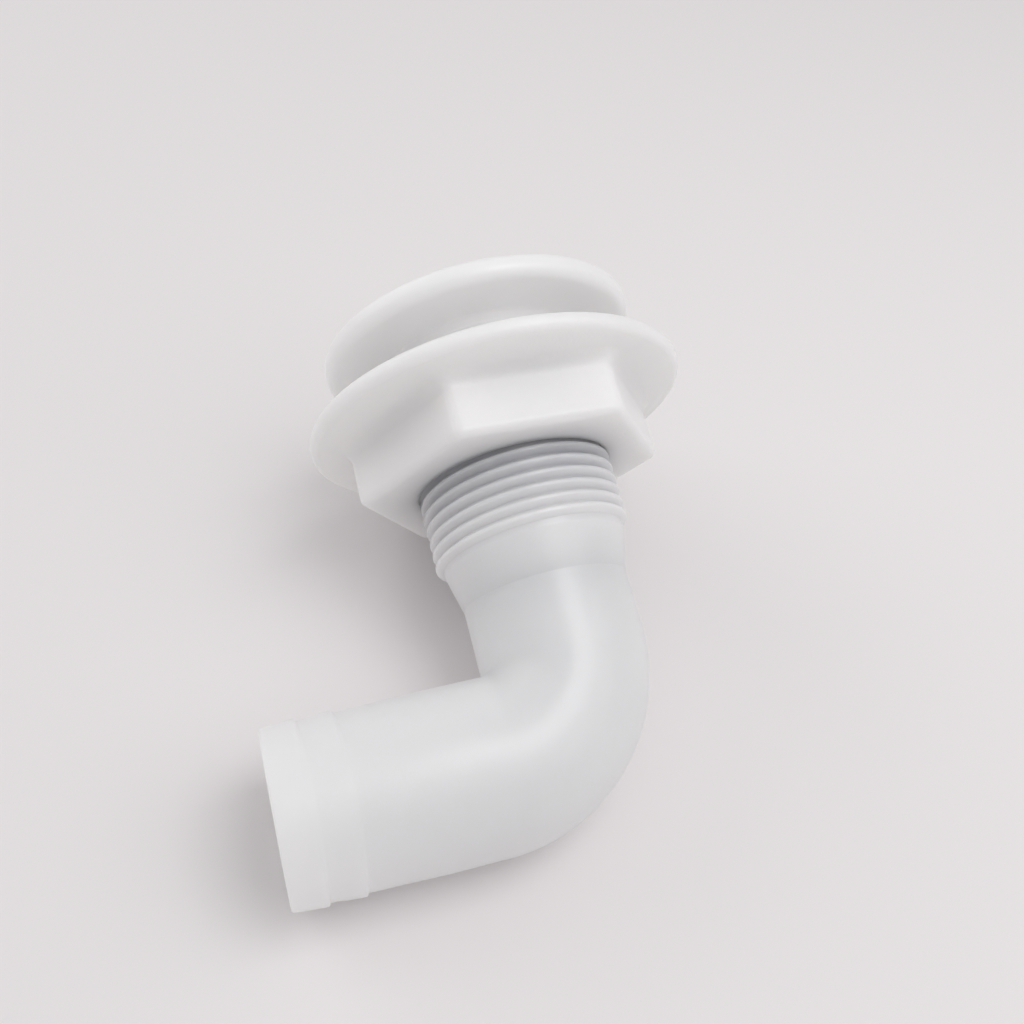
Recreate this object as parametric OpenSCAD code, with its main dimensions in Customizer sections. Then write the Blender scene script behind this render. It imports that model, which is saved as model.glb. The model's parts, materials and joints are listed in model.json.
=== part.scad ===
// Right-angle thru hull fitting with a mushroom head, a threaded barrel, a flanged lock nut
// and a barbed hose tail. It lies on a table, on the hose tail and on the rim of the nut's flange:
// the tail runs along -X, and the barrel leans up from +Y by the angle `lean`.
// Heights along the barrel are measured from the axis of the hose tail.

/* [Waterway tube] */
// Outside diameter of the elbow and of the hose tail
tube_od = 28.7; // [28.5:0.1:29]
// Bore of the elbow and of the hose tail
tube_bore = 23; // [20:0.5:24]
// Radius of the centreline of the bend
bend_r = 16.7; // [15:0.1:18]
// From the barrel's axis to the mouth of the hose tail
tail_reach = 51; // [48:0.5:60]

/* [Hose barbs] */
// Outside diameter over a barb's land
barb_od = 28.9; // [28.7:0.1:29.6]
// Outside diameter at the foot of a barb
barb_root_od = 27.8; // [27:0.1:28]
// Length of one barb, land and ramp together
barb_len = 5.8; // [5:0.1:7]
// Length of the land on top of a barb
barb_land = 0.8; // [0.5:0.1:1.5]

/* [Barrel] */
// Outside diameter of the thread
thread_od = 34.5; // [34:0.1:35]
// Pitch of the thread, 11.5 turns per inch
thread_pitch = 2.2087; // [2:0.0001:2.4]
// Depth of the thread, on the radius
thread_depth = 1.25; // [0.8:0.05:1.4]
// Height at which the thread ends above the elbow
thread_foot = 34.4; // [33:0.1:36]
// Height at which the tapered shank meets the elbow
shank_foot = 26.2; // [24:0.1:28]
// Bore of the barrel
barrel_bore = 24.5; // [23:0.5:26]

/* [Mushroom head] */
// Outside diameter of the head
head_od = 56.6; // [54:0.1:60]
// Height of the head's underside, which seats on the hull
head_seat = 72.2; // [72:0.1:80]
// Length of the plain collar between the thread and the head
head_collar = 1.6; // [1:0.1:2]
// Thickness of the head at its rim
head_rim = 4.1; // [3:0.1:5]
// Rise of the head's face from its rim to its mouth
head_crown = 1.2; // [0.5:0.1:1.5]

/* [Lock nut] */
// Across flats of the hexagon
nut_af = 48; // [46:0.5:50]
// Height of the nut, hexagon and flange together
nut_height = 14.4; // [12:0.1:16]
// Outside diameter of the flange
flange_od = 67.6; // [62:0.1:70]
// Thickness of the flange at its rim
flange_rim = 3; // [2.5:0.1:3.5]
// Thickness of the flange where it meets the hexagon's corners
flange_root = 3.6; // [3.5:0.1:5]
// Height of the nut's clamping face
nut_face = 61.8; // [60:0.1:66]
// Turn of the hexagon about the barrel, in degrees
nut_clock = 1.6; // [-30:0.1:30]

/* [Sealing washer] */
// Outside diameter of the washer
washer_od = 48; // [44:0.5:54]
// Thickness of the washer
washer_t = 1.6; // [1:0.1:2]

/* [Hidden] */
$fn = 96;
eps = 0.01;

// Running fits of the nut and the washer on the thread, and between their faces
bore_gap = 0.25;
face_gap = 0.05;

// Rounding of the head's rim, of the flange's rim and of the head's mouth
head_edge = 1.4;
flange_edge = 1.3;
mouth_round = 3.5;

// Chamfer at both ends of the nut's bore
bore_chamfer = 0.6;

// Half the width of a thread crest, and the length over which the thread rises from the shank
land_half = 0.25;
thread_ramp = 1;

// How much wider the mouth of the hose tail is than the foot of a barb, on the radius
mouth_lip = 0.1;

// Width of the flat ring around the hexagon's corners, before the flange falls away to its rim
corner_ring = 0.5;

tube_r = tube_od / 2;
barb_r = barb_od / 2;
barb_root_r = barb_root_od / 2;
thread_r = thread_od / 2;
root_r = thread_r - thread_depth;
head_r = head_od / 2;
flange_r = flange_od / 2;
clear_r = thread_r + bore_gap;
hex_corner_r = nut_af / 2 / cos(30);
nut_foot = nut_face - nut_height;
mouth_top = head_seat + head_rim + head_crown;
thread_top = head_seat - head_collar;
first_groove = thread_foot + thread_pitch - land_half;
groove_count = floor((thread_top - first_groove) / thread_pitch + 1 / 2);

// The table touches the outer barb and the elbow-side edge of the flange's rim.
rim_r = flange_r - flange_edge;
rim_h = nut_face - flange_rim + flange_edge;
lean = atan(rim_r / rim_h) - asin((barb_r - flange_edge) / norm([rim_r, rim_h]));

// The origin is under the middle of the whole fitting, on the table.
x_mid = (flange_r - tail_reach) / 2;
y_far = (head_seat + head_rim - head_edge) * cos(lean) + (head_r - head_edge) * sin(lean) + head_edge;
y_mid = (y_far - barb_r) / 2;

white = [0.93, 0.93, 0.92];
milky = [0.86, 0.88, 0.89];

// Puts a shape whose +Z is the barrel's axis, pointing out through the head.
module on_barrel() {
    translate([-x_mid, -y_mid, barb_r])
        rotate([lean - 90, 0, 0])
            children();
}

// Puts a shape whose +Z is the hose tail's axis, pointing out of its mouth.
module on_tail() {
    translate([-x_mid, -y_mid, barb_r])
        rotate([lean - 90, 0, 0])
            rotate([0, -90, 0])
                children();
}

// Head: a rounded disc with a collar, a slightly crowned face and a mouth that rolls into the bore.
module head_profile() {
    rim_top = head_seat + head_rim;
    bore_r = barrel_bore / 2;
    difference() {
        union() {
            translate([0, thread_top])
                square([thread_r, head_collar + head_rim]);
            translate([0, head_seat])
                square([head_r - head_edge, head_rim]);
            translate([0, head_seat + head_edge])
                square([head_r, head_rim - 2 * head_edge]);
            for (h = [head_seat + head_edge, rim_top - head_edge])
                translate([head_r - head_edge, h])
                    circle(r = head_edge);
            polygon([[0, rim_top], [head_r - head_edge, rim_top], [bore_r + mouth_round, mouth_top],
                [0, mouth_top]]);
        }
        translate([-eps, thread_top - eps])
            square([bore_r + eps, mouth_top - thread_top + 2 * eps]);
        difference() {
            translate([bore_r - eps, mouth_top - mouth_round])
                square([mouth_round + eps, mouth_round + eps]);
            translate([bore_r + mouth_round, mouth_top - mouth_round])
                circle(r = mouth_round);
        }
    }
}

module mushroom_head() {
    color(white)
        on_barrel()
            rotate_extrude()
                head_profile();
}

// Outline of one ring groove of the thread, with 30 degree flanks, around height h.
function groove(h) =
    let (mouth = thread_pitch / 2 - land_half, root = mouth - thread_depth * tan(30))
        [[thread_r, h - mouth], [root_r, h - root], [root_r, h + root], [thread_r, h + mouth]];

// Barrel: ring grooves for the thread, then a plain shank that tapers to the elbow.
module threaded_barrel() {
    grooves = [for (i = [0 : groove_count - 1]) for (p = groove(first_groove + i * thread_pitch)) p];
    outline = concat(
        [[barrel_bore / 2, shank_foot], [tube_r, shank_foot]],
        [[root_r, thread_foot - thread_ramp], [thread_r, thread_foot]],
        grooves,
        [[thread_r, thread_top], [barrel_bore / 2, thread_top]]
    );
    color(white)
        on_barrel()
            rotate_extrude()
                polygon(outline);
}

// A quarter ring in the plane of the fitting, from the tail's side round to the barrel's side.
module bend(r) {
    translate([-bend_r, 0, bend_r])
        rotate([90, 0, 0])
            rotate([0, 0, -90])
                rotate_extrude(angle = 90)
                    translate([bend_r, 0])
                        circle(r = r);
}

// Elbow: the bend and a straight neck, with a bore that widens to the barrel's.
module elbow() {
    color(white)
        on_barrel()
            difference() {
                union() {
                    bend(tube_r);
                    translate([0, 0, bend_r])
                        cylinder(r = tube_r, h = shank_foot - bend_r);
                }
                bend(tube_bore / 2);
                translate([0, 0, bend_r])
                    cylinder(r1 = tube_bore / 2, r2 = barrel_bore / 2, h = shank_foot - bend_r);
            }
}

// Hose tail: a plain tube that draws in to two low saw-tooth barbs beside its mouth.
module hose_tail() {
    barb_foot = [for (i = [1, 2]) tail_reach - i * barb_len];
    outline = concat(
        [[tube_bore / 2, bend_r], [tube_r, bend_r], [tube_r, barb_foot[1] - 2 * barb_len]],
        [for (i = [1, 0]) for (p = [
            [barb_root_r, barb_foot[i]],
            [barb_r, barb_foot[i]],
            [barb_r, barb_foot[i] + barb_land]
        ]) p],
        [[barb_root_r + mouth_lip, tail_reach], [tube_bore / 2, tail_reach]]
    );
    color(white)
        on_tail()
            rotate_extrude()
                polygon(outline);
}

// Nut flange: a disc whose elbow side rises a little from its rounded rim to the hexagon.
module flange_profile() {
    rim_foot = nut_face - flange_rim;
    root_foot = nut_face - flange_root;
    square_foot = rim_foot + flange_edge;
    translate([0, square_foot])
        square([flange_r, flange_rim - 2 * flange_edge]);
    for (h = [square_foot, nut_face - flange_edge])
        translate([flange_r - flange_edge, h])
            circle(r = flange_edge);
    polygon([[0, root_foot], [hex_corner_r + corner_ring, root_foot], [flange_r - flange_edge, rim_foot],
        [flange_r - flange_edge, nut_face], [0, nut_face]]);
}

// The nut's plain bore, which clears the thread, with a chamfer at both ends.
module nut_bore_profile() {
    chamfer_r = clear_r + bore_chamfer + eps;
    polygon([[0, nut_foot - eps], [chamfer_r, nut_foot - eps], [clear_r, nut_foot + bore_chamfer],
        [clear_r, nut_face - bore_chamfer], [chamfer_r, nut_face + eps], [0, nut_face + eps]]);
}

// Lock nut: a hexagon and its flange in one piece.
module lock_nut() {
    color(white)
        on_barrel()
            difference() {
                union() {
                    rotate_extrude()
                        flange_profile();
                    translate([0, 0, nut_foot])
                        rotate([0, 0, nut_clock])
                            cylinder(r = hex_corner_r, h = nut_height - flange_root / 2, $fn = 6);
                }
                rotate_extrude()
                    nut_bore_profile();
            }
}

// Washer: lies against the nut's face and is pushed along by it, without turning.
module sealing_washer() {
    color(milky)
        on_barrel()
            translate([0, 0, nut_face + face_gap])
                difference() {
                    cylinder(r = washer_od / 2, h = washer_t);
                    translate([0, 0, -eps])
                        cylinder(r = clear_r, h = washer_t + 2 * eps);
                }
}

mushroom_head();
threaded_barrel();
elbow();
hose_tail();
lock_nut();
sealing_washer();
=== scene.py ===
"""Looks of a right-angle thru hull fitting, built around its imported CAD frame.

Meshes are worked out in millimetres along the fitting's own axes: x runs along the hose tail, away
from its mouth, h is the height up the barrel from the tail's axis, and z is square to both.
"""
import json
import math

import bpy
from mathutils import Matrix, Vector


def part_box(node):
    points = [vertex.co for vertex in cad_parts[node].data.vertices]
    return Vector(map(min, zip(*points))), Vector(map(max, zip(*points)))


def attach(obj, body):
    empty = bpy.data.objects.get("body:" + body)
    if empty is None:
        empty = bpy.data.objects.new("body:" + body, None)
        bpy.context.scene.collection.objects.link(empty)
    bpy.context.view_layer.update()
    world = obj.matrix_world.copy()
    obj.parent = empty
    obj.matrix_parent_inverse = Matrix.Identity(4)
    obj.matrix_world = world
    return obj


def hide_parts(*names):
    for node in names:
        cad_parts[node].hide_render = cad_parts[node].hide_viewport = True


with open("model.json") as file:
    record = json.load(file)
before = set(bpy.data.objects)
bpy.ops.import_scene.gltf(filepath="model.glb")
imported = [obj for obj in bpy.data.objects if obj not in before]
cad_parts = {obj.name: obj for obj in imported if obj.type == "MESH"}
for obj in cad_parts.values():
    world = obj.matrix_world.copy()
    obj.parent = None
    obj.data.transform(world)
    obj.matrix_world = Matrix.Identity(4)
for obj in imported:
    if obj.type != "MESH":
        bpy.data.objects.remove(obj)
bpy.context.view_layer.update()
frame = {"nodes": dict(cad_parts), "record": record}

MM = 0.001
record = frame["record"]
mounts = {mount["name"]: mount for mount in record["mounts"]}
joints = {joint["name"]: joint for joint in record["behaviour"]["joints"]}
coupling = record["behaviour"]["couplings"][0]

# ---------------------------------------------------------------- the fitting's own axes

spin = joints["nut_spin"]
tail_axis = -Vector(mounts["hose_tail"]["axis"])
barrel_axis = Vector(spin["axis"]).normalized()
out_axis = tail_axis.cross(barrel_axis)
from_tail = Vector(spin["pos_m"]) - Vector(mounts["hose_tail"]["pos_m"])
crossing = Vector(spin["pos_m"]) - barrel_axis * from_tail.dot(barrel_axis)

axes = Matrix((tail_axis, barrel_axis, out_axis)).transposed().to_4x4()
to_frame = Matrix.Translation(crossing) @ axes
to_frame = to_frame @ Matrix.Scale(MM, 4)
to_fitting = to_frame.inverted()


def span(node):
    """A CAD node's lowest and highest height up the barrel, and its least and greatest radius."""
    points = [to_fitting @ vertex.co for vertex in frame["nodes"][node].data.vertices]
    heights = [p.y for p in points]
    radii = [math.hypot(p.x, p.z) for p in points]
    return min(heights), max(heights), min(radii), max(radii)


# ---------------------------------------------------------------- sizes, in millimetres

TAIL_REACH = -(to_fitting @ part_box("hose_tail")[0]).x
BARB_R = crossing.z / MM
BARB_PROUD = 0.1
TUBE_R = BARB_R - BARB_PROUD
TAIL_BORE_R = mounts["tail_mouth"]["dims"]["r_mm"]
BARREL_BORE_R = mounts["head_mouth"]["dims"]["r_mm"]
THREAD_R = mounts["barrel_thread"]["dims"]["r_mm"]
PITCH = coupling["ratio"] * 2 * math.pi / MM
SHANK_FOOT, THREAD_TOP, _, _ = span("threaded_barrel")
HEAD_SEAT = (to_fitting @ Vector(mounts["hull_seat"]["pos_m"])).y
_, HEAD_TOP, _, HEAD_R = span("mushroom_head")
NUT_FOOT, NUT_FACE, _, FLANGE_R = span("lock_nut")
WASHER_FOOT, WASHER_TOP, WASHER_BORE_R, WASHER_R = span("sealing_washer")

# Hose tail: two saw-tooth barbs, steep on the side of the elbow. They are lower and softer on the
# two sides that face square to the mould's parting line: BARB_SIDE is the share of the step there.
BARB_LEN = 5.8
BARB_LAND = 1.0
BARB_STEP = 0.44
BARB_SIDE = 0.06
BARB_RAMP = 0.2
BARB_SIDE_RAMP = 0.7
BARB_SUNK = 0.05
MOUTH_EDGE = 0.4

# Elbow: centre and radius of its outer curve, and the small radius of its inner corner. The neck is
# a little narrower than the tail.
BEND_R = 16.7
CORNER_R = 0.5
BEND_STEPS = 48
NECK_DRAW = 0.1
NECK_R = TUBE_R - NECK_DRAW

# Barrel: the shank widens to the root of the thread, whose flanks stand at 30 degrees
THREAD_DEPTH = 1.25
ROOT_R = THREAD_R - THREAD_DEPTH
SHANK_TOP = SHANK_FOOT + 7.0
THREAD_LOW = SHANK_TOP - 1.2
CREST_HALF = 0.25
FLANK_SLOPE = math.tan(math.radians(30))
FLANK = (THREAD_R - ROOT_R) * FLANK_SLOPE
ROOT_HALF = PITCH / 2 - CREST_HALF - FLANK

# Height of a groove at angle 0, and where the ridge rises from the shank and the groove runs out
GROOVE_AT = 36.45
RIDGE_START = 33.85
RIDGE_RUN = 0.7
GROOVE_STOP = THREAD_TOP - 1.3
GROOVE_RUN = 0.5

# Rounding of the thread's corners, as a share of its flank
FLANK_ROUND = 0.12

# Mushroom head
HEAD_RIM = 4.1
SEAT_EDGE = 1.9
RIM_EDGE = 1.4
HEAD_FILLET = 0.5
MOUTH_ROUND = 3.5

# Lock nut: hexagon, flange and the thread inside
HEX_APOTHEM = 24.0
HEX_TURN = 1.6
HEX_ROUND = 2.2
HEX_EDGE = 1.4
HEX_FILLET = 2.8
FLANGE_RIM = 3.0
FLANGE_ROOT = 3.6
FLANGE_EDGE = 1.3
CREST_GAP = 0.25
ROOT_GAP = 0.15
FLANK_GAP = 0.14
NUT_CREST_R = ROOT_R + CREST_GAP
NUT_ROOT_R = THREAD_R + ROOT_GAP
FOOT_CHAMFER_R = THREAD_R + 0.05
FACE_CHAMFER_R = THREAD_R + 1.15

# Sealing washer
WASHER_EDGE = 0.3

# Parting line of the mould: a hair of flash in the plane of the two axes, FLASH_HALF degrees wide
# on each side
FLASH = 0.04
FLASH_HALF = 0.6

# Columns of points round a turned piece, and a small step in from an edge, which keeps flats flat
COLUMNS = 144
NEAR = 0.4


# ---------------------------------------------------------------- building meshes

class Skin:
    """Points and faces of one piece, along the fitting's own axes."""

    def __init__(self):
        self.points = []
        self.faces = []

    def point(self, p):
        self.points.append(p)
        return len(self.points) - 1

    def ring(self, points):
        """Adds the points of one ring and returns their numbers."""
        return [self.point(p) for p in points]

    def strip(self, lower, upper):
        """Faces between two lists of point numbers. Points that fall together are one corner."""
        for a, b, c, d in zip(lower, lower[1:], upper[1:], upper):
            corners = list(dict.fromkeys((a, b, c, d)))
            if len(corners) > 2:
                self.faces.append(corners)

    def wall(self, rings):
        """Faces between each ring and the next, all the way round."""
        for lower, upper in zip(rings, rings[1:]):
            self.strip(lower + lower[:1], upper + upper[:1])

    def piece(self, name, material):
        """The finished object, in metres in the frame."""
        mesh = bpy.data.meshes.new(name)
        mesh.from_pydata([to_frame @ Vector(p) for p in self.points], [], self.faces)
        mesh.update()
        obj = bpy.data.objects.new(name, mesh)
        bpy.context.scene.collection.objects.link(obj)
        bpy.context.view_layer.objects.active = obj
        obj.select_set(True)
        bpy.ops.object.mode_set(mode="EDIT")
        bpy.ops.mesh.select_all(action="SELECT")
        bpy.ops.mesh.normals_make_consistent(inside=False)
        bpy.ops.object.mode_set(mode="OBJECT")
        obj.select_set(False)
        mesh.shade_smooth()
        mesh.set_sharp_from_angle(angle=math.radians(50))
        mesh.materials.append(material)
        return obj


def blend(x):
    """Smooth step from 0 to 1."""
    x = min(max(x, 0.0), 1.0)
    return x * x * (3 - 2 * x)


def mix(a, b, t):
    return a + (b - a) * t


def steps(start, end, count):
    """count + 1 evenly spaced values from start to end."""
    return [mix(start, end, i / count) for i in range(count + 1)]


def turns(start, end, count):
    """The same, from one angle in degrees to another, in radians."""
    return [math.radians(a) for a in steps(start, end, count)]


def arc(r, h, radius, start, end, count=6):
    """Points (radius, height) on a round corner about (r, h), between two angles in degrees."""
    angles = turns(start, end, count)
    return [(r + radius * math.cos(a), h + radius * math.sin(a)) for a in angles]


def turned(skin, outline, angles, extra=lambda angle: 0.0):
    """Rings about the barrel's axis, one for each (radius, height) of the outline."""
    return [
        skin.ring([((r + extra(a)) * math.cos(a), h, (r + extra(a)) * math.sin(a)) for a in angles])
        for r, h in outline
    ]


# ---------------------------------------------------------------- the screw thread

def soft_ramp(x):
    """0 below 0 and 1 above 1, straight between them, with both corners rounded."""
    if x > 0.5:
        return 1 - soft_ramp(1 - x)
    if x < -FLANK_ROUND:
        return 0.0
    if x < FLANK_ROUND:
        return (x + FLANK_ROUND) ** 2 / (4 * FLANK_ROUND)
    return x


def thread(skin, low, high, angles, inner, outer, radius):
    """Adds the wall of a right-hand thread between two plain rings, and returns the two rings.

    The profile rises from 0 at `inner` to 1 at `outer`, both measured from the middle of a groove of
    the barrel. Each column of points has the same rows in each turn, shifted along the helix, and
    all the rows beyond an end are one point there. radius(h, rise, ridge, groove) gives the
    surface, where ridge and groove are the heights of the middles of the nearest two.
    """
    shares = (-FLANK_ROUND, 0, FLANK_ROUND, 0.5, 1 - FLANK_ROUND, 1, 1 + FLANK_ROUND)
    corners = [inner + (outer - inner) * share for share in shares]
    half = [0.0] + corners
    marks = half + [PITCH / 2] + [PITCH - u for u in reversed(half[1:])]
    zero = GROOVE_AT + PITCH / 4
    zero -= PITCH * math.ceil((zero - low) / PITCH)
    turns = math.ceil((high - zero) / PITCH) + 1
    heights = [zero + PITCH * turn + mark for turn in range(turns) for mark in marks]

    def surface(h, angle):
        place = (h - zero) / PITCH + angle / (2 * math.pi)
        groove = round(place)
        rise = soft_ramp((abs(place - groove) * PITCH - inner) / (outer - inner))
        ridge_h = h + (math.floor(place) + 0.5 - place) * PITCH
        groove_h = h + (groove - place) * PITCH
        r = radius(h, rise, ridge_h, groove_h)
        return (r * math.cos(angle), h, r * math.sin(angle))

    columns = []
    for angle in angles:
        fall = PITCH * angle / (2 * math.pi)
        column = []
        last = None
        for height in heights:
            h = min(max(height - fall, low), high)
            if h != last:
                number = skin.point(surface(h, angle))
            column.append(number)
            last = h
        columns.append(column)
    first = columns[0]
    columns.append(first[:1] * len(marks) + first[:-len(marks)])
    for left, right in zip(columns, columns[1:]):
        skin.strip(left, right)
    return [c[0] for c in columns[:-1]], [c[-1] for c in columns[:-1]]


# ---------------------------------------------------------------- the moulding

def moulding_angles():
    """Even columns, and close ones beside the parting line."""
    even = [2 * math.pi * i / COLUMNS for i in range(COLUMNS)]
    beside = (FLASH_HALF, 180 - FLASH_HALF, 180 + FLASH_HALF, 360 - FLASH_HALF)
    return sorted(even + [math.radians(a) for a in beside])


def flash(angle):
    """Height of the mould's flash above the plain surface."""
    return FLASH if abs(math.sin(angle)) < 1e-6 else 0.0


def shank_radius(h):
    """The neck, the tapered shank and the root of the thread."""
    rise = (h - SHANK_FOOT) / (SHANK_TOP - SHANK_FOOT)
    return mix(NECK_R, ROOT_R, min(max(rise, 0.0), 1.0))


def tail_rings(skin, outline_at, angles):
    """Rings about the tail's axis. outline_at(angle) is the outline, (radius, distance), there."""
    columns = [[(-x, -r * math.cos(a), r * math.sin(a)) for r, x in outline_at(a)] for a in angles]
    return [skin.ring(ring) for ring in zip(*columns)]


def bend_rings(skin, wall, half_width, angles, extra=lambda angle: 0.0):
    """Rings round the elbow, from the tail to the neck, `wall` inside its outer surface.

    Each is an ellipse between a point on the wide outer curve and one on the tight inner corner.
    """
    rings = []
    for angle in steps(0, 90, BEND_STEPS):
        turn = math.radians(angle)
        radius = mix(TUBE_R, NECK_R, blend(angle / 90))
        direction = Vector((math.sin(turn), -math.cos(turn)))
        outside = Vector((-BEND_R, BEND_R)) + direction * (BEND_R + radius - wall)
        inside = Vector((-radius - CORNER_R, radius + CORNER_R)) + direction * (CORNER_R + wall)
        middle = (outside + inside) / 2
        across = (outside - inside) / 2
        deep = radius - wall if half_width is None else half_width
        ring = []
        for a in angles:
            stretch = 1 + extra(a) / radius
            at = middle + across * math.cos(a) * stretch
            ring.append((at.x, at.y, deep * math.sin(a)))
        rings.append(skin.ring(ring))
    return rings


def barb_outline(angle):
    """(radius, distance) along the outside of the tail, from the elbow to the mouth's edge."""
    share = math.cos(angle) ** 2
    half_step = BARB_STEP / 2 * mix(BARB_SIDE, 1, share)
    half_ramp = mix(BARB_SIDE_RAMP, BARB_RAMP, share)
    middle = BARB_R - BARB_STEP / 2 - BARB_SUNK
    root_r = middle - half_step
    land_r = middle + half_step
    outline = [(TUBE_R, BEND_R + d) for d in (2.0, 6.0, 9.0)]
    for barb in (2, 1):
        foot = TAIL_REACH - barb * BARB_LEN
        outline.append((root_r + 0.03, foot - 1.2))
        for t in steps(-1, 1, 6):
            outline.append((mix(root_r, land_r, blend((t + 1) / 2)), foot + half_ramp * t))
        outline += [(land_r, foot + BARB_LAND), (mix(root_r, land_r, 0.6), foot + BARB_LEN / 2)]
    outline.append((root_r + 0.05, TAIL_REACH - 2 * MOUTH_EDGE))
    return outline + arc(root_r - MOUTH_EDGE, TAIL_REACH - MOUTH_EDGE, MOUTH_EDGE, 0, 90, 5)


def fitting_moulding(material):
    """Hose tail, elbow, barrel and mushroom head: one hollow moulding."""
    skin = Skin()
    angles = moulding_angles()

    def barrel_radius(h, rise, ridge, groove):
        base = shank_radius(h)
        rise *= blend((ridge - RIDGE_START) / RIDGE_RUN)
        depth = 1 - blend((groove - GROOVE_STOP) / GROOVE_RUN)
        return base + (THREAD_R - base) * (1 - (1 - rise) * depth)

    tail = tail_rings(skin, barb_outline, angles)
    bend = bend_rings(skin, 0.0, None, angles, flash)
    heights = [BEND_R + 2, BEND_R + 5]
    heights += [SHANK_FOOT + d for d in (-NEAR, -0.04, 0.04, NEAR)]
    heights += steps(SHANK_FOOT + 2, THREAD_LOW - 1, 3)
    neck = turned(skin, [(shank_radius(h), h) for h in heights], angles, flash)
    thread_low, thread_high = thread(
        skin, THREAD_LOW, THREAD_TOP, angles, ROOT_HALF, ROOT_HALF + FLANK, barrel_radius)

    rim_top = HEAD_SEAT + HEAD_RIM
    mouth_r = BARREL_BORE_R + MOUTH_ROUND
    slope = math.degrees(math.atan2(HEAD_TOP - rim_top, HEAD_R - RIM_EDGE - mouth_r))
    head_outline = [(THREAD_R, HEAD_SEAT - HEAD_FILLET - 0.3)]
    head_outline += arc(THREAD_R + HEAD_FILLET, HEAD_SEAT - HEAD_FILLET, HEAD_FILLET, 180, 90)
    head_outline += [(r, HEAD_SEAT) for r in steps(THREAD_R + 1, HEAD_R - SEAT_EDGE - NEAR, 4)]
    head_outline += arc(HEAD_R - SEAT_EDGE, HEAD_SEAT + SEAT_EDGE, SEAT_EDGE, -90, 0, 8)
    head_outline += arc(HEAD_R - RIM_EDGE, rim_top - RIM_EDGE, RIM_EDGE, 0, 90 - slope, 10)
    head_outline += [
        (r, mix(rim_top, HEAD_TOP, (HEAD_R - RIM_EDGE - r) / (HEAD_R - RIM_EDGE - mouth_r)))
        for r in steps(HEAD_R - RIM_EDGE - 0.6, mouth_r + 0.6, 4)
    ]
    head_outline += arc(mouth_r, HEAD_TOP - MOUTH_ROUND, MOUTH_ROUND, 90, 180, 12)
    bore_heights = steps(HEAD_TOP - MOUTH_ROUND - 0.6, SHANK_FOOT + 0.3, 8) + [SHANK_FOOT]
    bore_outline = [(BARREL_BORE_R, h) for h in bore_heights] + [(TAIL_BORE_R, BEND_R + 1.5)]
    head = turned(skin, head_outline + bore_outline, angles)

    bore = bend_rings(skin, TUBE_R - TAIL_BORE_R, TAIL_BORE_R, angles)
    bore.reverse()
    end_outline = [(TAIL_BORE_R, x) for x in steps(BEND_R + 2, TAIL_REACH - 1.2, 6)]
    end_outline += arc(TAIL_BORE_R + MOUTH_EDGE, TAIL_REACH - MOUTH_EDGE, MOUTH_EDGE, 180, 90, 4)
    tail_bore = tail_rings(skin, lambda angle: end_outline, angles)

    rings = tail[::-1] + bend + neck + [thread_low]
    skin.wall(rings)
    skin.wall([thread_high] + head + bore + tail_bore + [rings[0]])
    return skin.piece("fitting_moulding", material)


# ---------------------------------------------------------------- the lock nut

def at_bearing(radius, bearing, centre=(0.0, 0.0)):
    """Point (x, z) at a radius from a centre, at a bearing in radians."""
    return (centre[0] + radius * math.cos(bearing), centre[1] + radius * math.sin(bearing))


def hexagon(offset):
    """Points (x, z) round the hexagon's rounded outline, moved out by offset."""
    centre_r = (HEX_APOTHEM - HEX_ROUND) / math.cos(math.radians(30))
    round_r = HEX_ROUND + offset
    points = []
    for corner in range(6):
        bearing = math.radians(60 * corner - HEX_TURN)
        this = at_bearing(centre_r, bearing)
        following = at_bearing(centre_r, bearing + math.radians(60))
        points += [at_bearing(round_r, bearing + swing, this) for swing in turns(-30, 30, 10)]
        for t in steps(0, 1, 14)[1:-1]:
            middle = (mix(this[0], following[0], t), mix(this[1], following[1], t))
            points.append(at_bearing(round_r, bearing + math.radians(30), middle))
    return points


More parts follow.
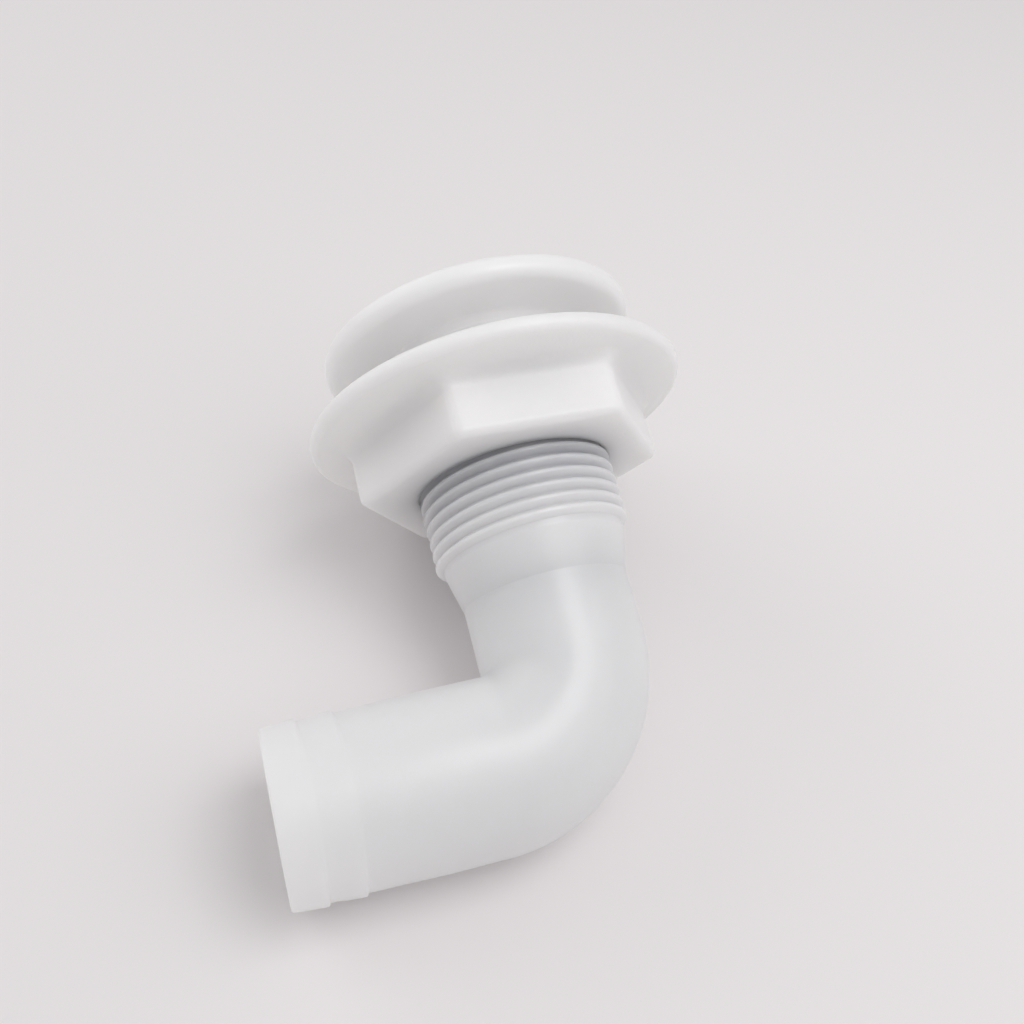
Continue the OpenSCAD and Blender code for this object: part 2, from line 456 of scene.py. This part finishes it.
def lock_nut(material):
    """Hexagon, flange and internal thread, in one moulding."""
    skin = Skin()
    fillet_outline = hexagon(HEX_FILLET)
    bearings = [math.atan2(z, x) % (2 * math.pi) for x, z in fillet_outline]
    first = bearings.index(min(bearings))
    angles = bearings[first:] + bearings[:first]

    def hex_ring(offset, h):
        outline = hexagon(offset)
        return skin.ring([(x, h, z) for x, z in outline[first:] + outline[:first]])

    def nut_radius(h, rise, ridge, groove):
        chamfer = max(FOOT_CHAMFER_R - (h - NUT_FOOT), FACE_CHAMFER_R - (NUT_FACE - h))
        return max(mix(NUT_CREST_R, NUT_ROOT_R, rise), chamfer)

    crest_half = ROOT_HALF + CREST_GAP * FLANK_SLOPE - FLANK_GAP
    root_half = PITCH / 2 - CREST_HALF + ROOT_GAP * FLANK_SLOPE - FLANK_GAP
    foot_ring, face_ring = thread(
        skin, NUT_FOOT, NUT_FACE, angles, crest_half, root_half, nut_radius)

    root_h = NUT_FACE - FLANGE_ROOT
    rim_h = NUT_FACE - FLANGE_RIM
    foot = turned(skin, [(r, NUT_FOOT) for r in (FOOT_CHAMFER_R + NEAR, THREAD_R + 2.5)], angles)
    wall = [hex_ring(-HEX_EDGE - 0.5, NUT_FOOT)]
    for turn in turns(-90, 0, 8):
        offset = HEX_EDGE * (math.cos(turn) - 1)
        wall.append(hex_ring(offset, NUT_FOOT + HEX_EDGE * (1 + math.sin(turn))))
    wall_heights = steps(NUT_FOOT + HEX_EDGE + NEAR, root_h - HEX_FILLET - 0.3, 4)
    wall += [hex_ring(0, h) for h in wall_heights]
    for turn in turns(180, 90, 10):
        offset = HEX_FILLET * (1 + math.cos(turn))
        wall.append(hex_ring(offset, root_h - HEX_FILLET * (1 - math.sin(turn))))
    edge_r = FLANGE_R - FLANGE_EDGE
    slope = math.degrees(math.atan2(rim_h - root_h, edge_r - HEX_APOTHEM - 6))
    flange_outline = [(edge_r - 1.0, mix(root_h, rim_h, 0.85))]
    flange_outline += arc(edge_r, rim_h + FLANGE_EDGE, FLANGE_EDGE, -90 - slope, 0, 10)
    flange_outline += arc(edge_r, NUT_FACE - FLANGE_EDGE, FLANGE_EDGE, 0, 90, 8)
    flange_outline += [(r, NUT_FACE) for r in steps(edge_r - NEAR, FACE_CHAMFER_R + NEAR, 4)]
    flange = turned(skin, flange_outline, angles)
    skin.wall([foot_ring] + foot + wall + flange + [face_ring])
    return skin.piece("lock_nut_moulding", material)


# ---------------------------------------------------------------- the washer

def sealing_washer(material):
    """A flat soft ring with rounded edges."""
    skin = Skin()
    angles = [2 * math.pi * i / COLUMNS for i in range(COLUMNS)]
    e = WASHER_EDGE
    outer = WASHER_R - e
    inner = WASHER_BORE_R + e
    outline = arc(outer, WASHER_FOOT + e, e, -90, 0)
    outline += arc(outer, WASHER_TOP - e, e, 0, 90)
    outline += [(r, WASHER_TOP) for r in steps(outer - NEAR, inner + NEAR, 3)]
    outline += arc(inner, WASHER_TOP - e, e, 90, 180)
    outline += arc(inner, WASHER_FOOT + e, e, 180, 270)
    outline += [(r, WASHER_FOOT) for r in steps(inner + NEAR, outer - NEAR, 3)]
    rings = turned(skin, outline, angles)
    skin.wall(rings + rings[:1])
    return skin.piece("washer_ring", material)


# ---------------------------------------------------------------- materials

class Plastic:
    """Moulded plastic that light soaks into, with a cloudy colour, uneven gloss and a fine grain.

    scatter is how far light spreads inside, and grain and grain_size are the height and the width of
    the surface's bumps, all in millimetres. coat is how much of a clear gloss lies over it.
    """

    def __init__(self, name, colour, roughness, scatter, grain, grain_size, coat=0.0):
        self.material = bpy.data.materials.new(name)
        self.material.use_nodes = True
        self.nodes = self.material.node_tree.nodes
        self.links = self.material.node_tree.links
        self.shader = self.nodes["Principled BSDF"]
        self.place = self.nodes.new("ShaderNodeTexCoord").outputs["Object"]
        pale = [min(c * 1.02, 1.0) for c in colour]
        self.colour = self.mix_colour(self.noise(9, 3), [c * 0.97 for c in colour], pale)
        self.wire(self.colour, self.shader.inputs["Base Color"])
        uneven = self.spread(self.noise(4, 4), roughness - 0.03, roughness + 0.03)
        self.wire(uneven, self.shader.inputs["Roughness"])
        self.normal = None
        self.bump(self.noise(6, 2), 0.05, 0.5)
        self.bump(self.noise(grain_size, 3), grain, 0.6)
        self.shader.inputs["Subsurface Weight"].default_value = 1.0
        self.shader.inputs["Subsurface Radius"].default_value = (1.0, 0.95, 0.9)
        self.shader.inputs["Subsurface Scale"].default_value = scatter * MM
        self.shader.inputs["IOR"].default_value = 1.5
        self.shader.inputs["Coat Weight"].default_value = coat
        self.shader.inputs["Coat Roughness"].default_value = 0.18

    def wire(self, value, socket):
        """Links a socket, or sets a plain value."""
        if isinstance(value, bpy.types.NodeSocket):
            self.links.new(value, socket)
        elif socket.type == "RGBA":
            socket.default_value = (*value, 1)
        else:
            socket.default_value = value

    def noise(self, size, detail):
        node = self.nodes.new("ShaderNodeTexNoise")
        node.inputs["Scale"].default_value = 1 / (size * MM)
        node.inputs["Detail"].default_value = detail
        self.wire(self.place, node.inputs["Vector"])
        return node.outputs["Fac"]

    def spread(self, value, low, high, start=0.0, end=1.0):
        """Maps the range from start to end onto the range from low to high."""
        node = self.nodes.new("ShaderNodeMapRange")
        node.inputs["From Min"].default_value = start
        node.inputs["From Max"].default_value = end
        node.inputs["To Min"].default_value = low
        node.inputs["To Max"].default_value = high
        self.wire(value, node.inputs["Value"])
        return node.outputs["Result"]

    def multiply(self, a, b):
        node = self.nodes.new("ShaderNodeMath")
        node.operation = "MULTIPLY"
        self.wire(a, node.inputs[0])
        self.wire(b, node.inputs[1])
        return node.outputs["Value"]

    def vector(self, operation, a, b, output="Vector"):
        node = self.nodes.new("ShaderNodeVectorMath")
        node.operation = operation
        self.wire(a, node.inputs[0])
        if b is not None:
            self.wire(b, node.inputs[1])
        return node.outputs[output]

    def mix_colour(self, factor, a, b):
        node = self.nodes.new("ShaderNodeMix")
        node.data_type = "RGBA"
        self.wire(factor, node.inputs["Factor"])
        self.wire(a, node.inputs["A"])
        self.wire(b, node.inputs["B"])
        return node.outputs["Result"]

    def bump(self, height, distance, strength):
        """Adds a layer of bumps, up to `distance` millimetres high, over those there already."""
        node = self.nodes.new("ShaderNodeBump")
        node.inputs["Distance"].default_value = distance * MM
        node.inputs["Strength"].default_value = strength
        self.wire(height, node.inputs["Height"])
        if self.normal:
            self.wire(self.normal, node.inputs["Normal"])
        self.normal = node.outputs["Normal"]
        self.wire(self.normal, self.shader.inputs["Normal"])

    def paint_thread_shade(self, colour):
        """Painted shade on the shank and the thread: grey mixed into the base colour, strongest high
        up towards the nut and in the grooves, standing for the nut's shadow and the shade in the
        grooves.
        """
        offset = self.vector("SUBTRACT", self.place, crossing)
        height = self.vector("DOT_PRODUCT", offset, barrel_axis, "Value")
        across = self.vector("CROSS_PRODUCT", offset, barrel_axis)
        radius = self.vector("LENGTH", across, None, "Value")
        # Painted shade in the grooves: greyer the deeper the surface lies below the crest
        deep = self.spread(radius, 1.0, 0.85, ROOT_R * MM, THREAD_R * MM)
        from_ring = self.spread(height, 0.0, 1.0, (SHANK_FOOT - 0.1) * MM, (SHANK_FOOT + 0.1) * MM)
        # Painted shadow of the nut: the grey grows up the barrel towards it, then fades before the
        # head
        shade_towards_nut = self.spread(height, 0.22, 1.0, SHANK_TOP * MM, (SHANK_TOP + 12) * MM)
        to_head = self.spread(height, 1.0, 0.0, (NUT_FOOT + 4) * MM, (NUT_FACE - 4) * MM)
        patchy = self.spread(self.noise(5, 3), 0.75, 1.0)
        painted_shade = self.multiply(self.multiply(deep, patchy), self.multiply(from_ring, to_head))
        self.colour = self.mix_colour(self.multiply(painted_shade, shade_towards_nut), self.colour, colour)
        self.wire(self.colour, self.shader.inputs["Base Color"])


def floor_material():
    material = bpy.data.materials.new("pale_floor")
    material.use_nodes = True
    shader = material.node_tree.nodes["Principled BSDF"]
    shader.inputs["Base Color"].default_value = (0.84, 0.815, 0.82, 1)
    shader.inputs["Roughness"].default_value = 0.7
    shader.inputs["Specular IOR Level"].default_value = 0.2
    return material


# ---------------------------------------------------------------- the camera, the floor and the light

def look(obj, at, towards, up):
    """Places a camera or light at a point, looking towards another, in metres in the frame."""
    back = (at - towards).normalized()
    right = up.cross(back).normalized()
    turn = Matrix((right, back.cross(right), back)).transposed().to_4x4()
    obj.matrix_world = Matrix.Translation(at) @ turn


def camera():
    data = bpy.data.cameras.new("camera")
    data.sensor_width = 36
    data.lens = 39.6
    data.clip_start = 0.01
    obj = bpy.data.objects.new("camera", data)
    bpy.context.scene.collection.objects.link(obj)
    at = to_frame @ Vector((-48.75, -19.19, 181.76))
    towards = to_frame @ Vector((-3.65, 39.58, 6.79))
    up = to_frame.to_3x3() @ Vector((0.18, 0.918, 0.355))
    look(obj, at, towards, up)
    bpy.context.scene.camera = obj


def area_light(name, azimuth, elevation, distance, size, strength):
    """A square soft light that faces the object and lights it with `strength` watts a square metre.

    Azimuth runs clockwise from +Y, seen from above. Distance and size are in metres.
    """
    data = bpy.data.lights.new(name, "AREA")
    data.shape = "SQUARE"
    data.size = size
    data.energy = strength * math.pi * distance ** 2
    obj = bpy.data.objects.new(name, data)
    bpy.context.scene.collection.objects.link(obj)
    around = math.radians(azimuth)
    rise = math.radians(elevation)
    flat = math.cos(rise)
    away = Vector((math.sin(around) * flat, math.cos(around) * flat, math.sin(rise)))
    look(obj, away * distance, Vector((0, 0, 0.02)), Vector((0, 1, 0.01)))


def studio():
    bpy.ops.mesh.primitive_plane_add(size=20.0)
    floor = bpy.context.object
    floor.name = "floor"
    floor.data.materials.append(floor_material())
    world = bpy.data.worlds.new("studio")
    bpy.context.scene.world = world
    world.use_nodes = True
    background = world.node_tree.nodes["Background"]
    background.inputs["Color"].default_value = (1.0, 0.985, 0.99, 1)
    background.inputs["Strength"].default_value = 0.48
    area_light("key", 115, 73, 0.6, 0.26, 0.48)
    area_light("broad", 125, 57, 0.6, 0.56, 0.74)
    area_light("top", 0, 90, 0.8, 0.9, 0.33)
    area_light("back", 315, 25, 0.8, 0.7, 0.75)
    bpy.context.scene.view_settings.view_transform = "Standard"


# ---------------------------------------------------------------- putting it together

camera()
studio()

white = Plastic("white_moulding", (0.905, 0.895, 0.895), 0.33, 9.0, 0.01, 0.25, coat=0.12)
# Painted shade on the shank and thread, darkest in the grooves and towards the nut
white.paint_thread_shade((0.50, 0.51, 0.54))
moulding = fitting_moulding(white.material)
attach(moulding, "fitting")
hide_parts("mushroom_head", "threaded_barrel", "elbow", "hose_tail")

satin = Plastic("nut_plastic", (0.875, 0.865, 0.865), 0.36, 8.0, 0.06, 0.45)
nut = lock_nut(satin.material)
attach(nut, "nut")
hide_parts("lock_nut")

milky = Plastic("washer_plastic", (0.72, 0.74, 0.75), 0.5, 1.0, 0.015, 0.5)
washer = sealing_washer(milky.material)
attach(washer, "washer")
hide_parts("sealing_washer")
